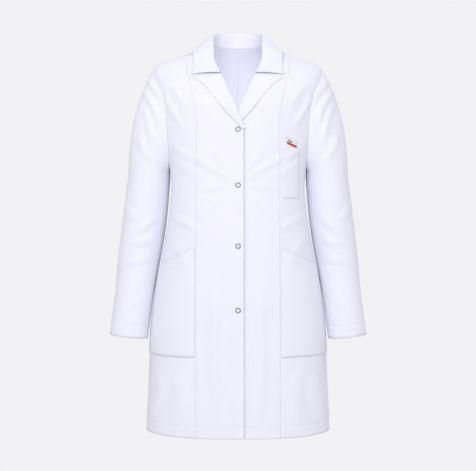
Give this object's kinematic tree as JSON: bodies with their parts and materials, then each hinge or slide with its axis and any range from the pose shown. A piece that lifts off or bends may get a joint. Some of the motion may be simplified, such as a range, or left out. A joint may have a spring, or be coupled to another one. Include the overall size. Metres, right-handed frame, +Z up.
{
  "type": "lab coat",
  "caption": "Long-sleeved white lab coat with notched lapels, snap front, princess seams, hip pockets and a chest pocket; worn over clothes or hung by the neck.",
  "frame": {"origin": "the nape: middle of the back neck seam, where the coat rests on the wearer's neck or a hanger", "axes": "+Z up along the coat, -Y out of the coat's front, +X to the wearer's left"},
  "size_m": [0.555, 0.2812, 0.8784],
  "materials": {
    "white_cloth": "matte",
    "snap_metal": "satin",
    "tag_weave": "matte"
  },
  "bodies": {
    "coat_body": {"right_back": "white_cloth", "left_back": "white_cloth", "right_side_front": "white_cloth", "left_side_front": "white_cloth", "right_chest": "white_cloth", "left_chest": "white_cloth", "right_lapel": "white_cloth", "left_lapel": "white_cloth", "upper_collar": "white_cloth", "under_collar": "white_cloth", "right_hip_pocket": "white_cloth", "left_hip_pocket": "white_cloth", "chest_pocket": "white_cloth", "woven_tag": "tag_weave"},
    "right_front": {"right_front": "white_cloth", "right_facing": "white_cloth", "snap_cap_1": "snap_metal", "snap_cap_2": "snap_metal", "snap_cap_3": "snap_metal", "snap_cap_4": "snap_metal", "snap_socket_1": "snap_metal", "snap_socket_2": "snap_metal", "snap_socket_3": "snap_metal", "snap_socket_4": "snap_metal"},
    "left_front": {"left_front": "white_cloth", "left_facing": "white_cloth", "snap_stud_1": "snap_metal", "snap_stud_2": "snap_metal", "snap_stud_3": "snap_metal", "snap_stud_4": "snap_metal", "snap_back_ring_1": "snap_metal", "snap_back_ring_2": "snap_metal", "snap_back_ring_3": "snap_metal", "snap_back_ring_4": "snap_metal"},
    "right_sleeve": {"right_sleeve": "white_cloth"},
    "left_sleeve": {"left_sleeve": "white_cloth"}
  },
  "joints": [
    {"name": "right_front_open", "type": "hinge", "parent": "coat_body", "child": "right_front", "pos_m": [-0.05793, -0.17, -0.185], "axis": [-0.0428, -0.0503, -0.9978], "range_deg": [0, 75]},
    {"name": "left_front_open", "type": "hinge", "parent": "coat_body", "child": "left_front", "pos_m": [0.05793, -0.17, -0.185], "axis": [-0.0428, 0.0503, 0.9978], "range_deg": [0, 37.5]},
    {"name": "right_sleeve_raise", "type": "hinge", "parent": "coat_body", "child": "right_sleeve", "pos_m": [-0.1856, -0.06, -0.053], "axis": [0, 1, 0], "range_deg": [0, 45]},
    {"name": "left_sleeve_raise", "type": "hinge", "parent": "coat_body", "child": "left_sleeve", "pos_m": [0.1856, -0.06, -0.053], "axis": [0, -1, 0], "range_deg": [0, 45]}
  ],
  "couplings": [
    {"joint": "left_front_open", "follows": "right_front_open", "ratio": 0.5}
  ]
}
